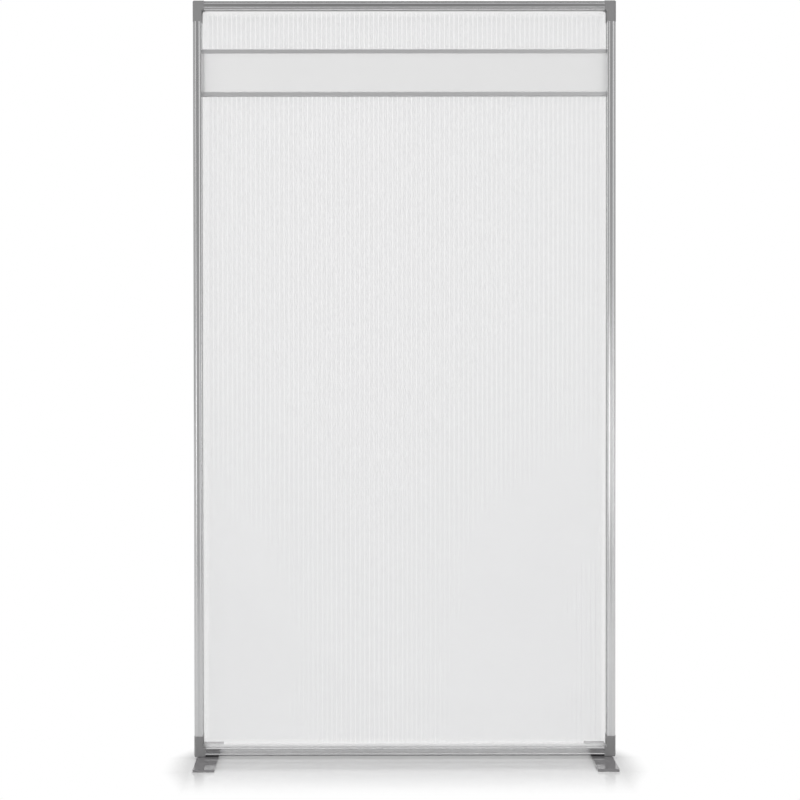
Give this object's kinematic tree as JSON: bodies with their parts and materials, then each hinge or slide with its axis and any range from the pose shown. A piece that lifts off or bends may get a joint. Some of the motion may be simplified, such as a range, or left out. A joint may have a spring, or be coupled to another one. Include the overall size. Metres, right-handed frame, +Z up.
{
  "type": "room divider",
  "caption": "Free-standing framed office partition: translucent twin-wall sheet with a solid band near the top, in an aluminium frame on flat foot plates.",
  "frame": {"origin": "on the floor, under the middle of the screen: the middle of the bottom of the whole box", "axes": "+X to the right seen from the front, +Y to the back, +Z up; the front faces -Y"},
  "size_m": [1, 0.3, 1.795],
  "materials": {
    "satin_aluminium": "satin anodised",
    "divider_aluminium": "satin anodised",
    "connector_plastic": "fine matt mid grey",
    "twin_wall_sheet": "translucent white, smooth",
    "band_sheet": "smooth light grey",
    "foot_steel": "semi-gloss dark grey",
    "zinc_steel": "zinc plated",
    "insert_brass": "plain turned"
  },
  "bodies": {
    "root": {"left_upright": "satin_aluminium", "right_upright": "satin_aluminium", "top_rail": "satin_aluminium", "bottom_rail": "satin_aluminium", "top_left_corner": "connector_plastic", "top_right_corner": "connector_plastic", "bottom_left_corner": "connector_plastic", "bottom_right_corner": "connector_plastic", "lower_infill": "twin_wall_sheet", "upper_infill": "twin_wall_sheet", "band": "band_sheet", "lower_divider": "divider_aluminium", "upper_divider": "divider_aluminium", "left_foot_plate": "foot_steel", "right_foot_plate": "foot_steel", "left_foot_screws": "zinc_steel", "right_foot_screws": "zinc_steel", "left_foot_inserts": "insert_brass", "right_foot_inserts": "insert_brass", "top_left_locking_screws": "zinc_steel", "top_right_locking_screws": "zinc_steel", "bottom_left_locking_screws": "zinc_steel", "bottom_right_locking_screws": "zinc_steel"}
  },
  "joints": []
}
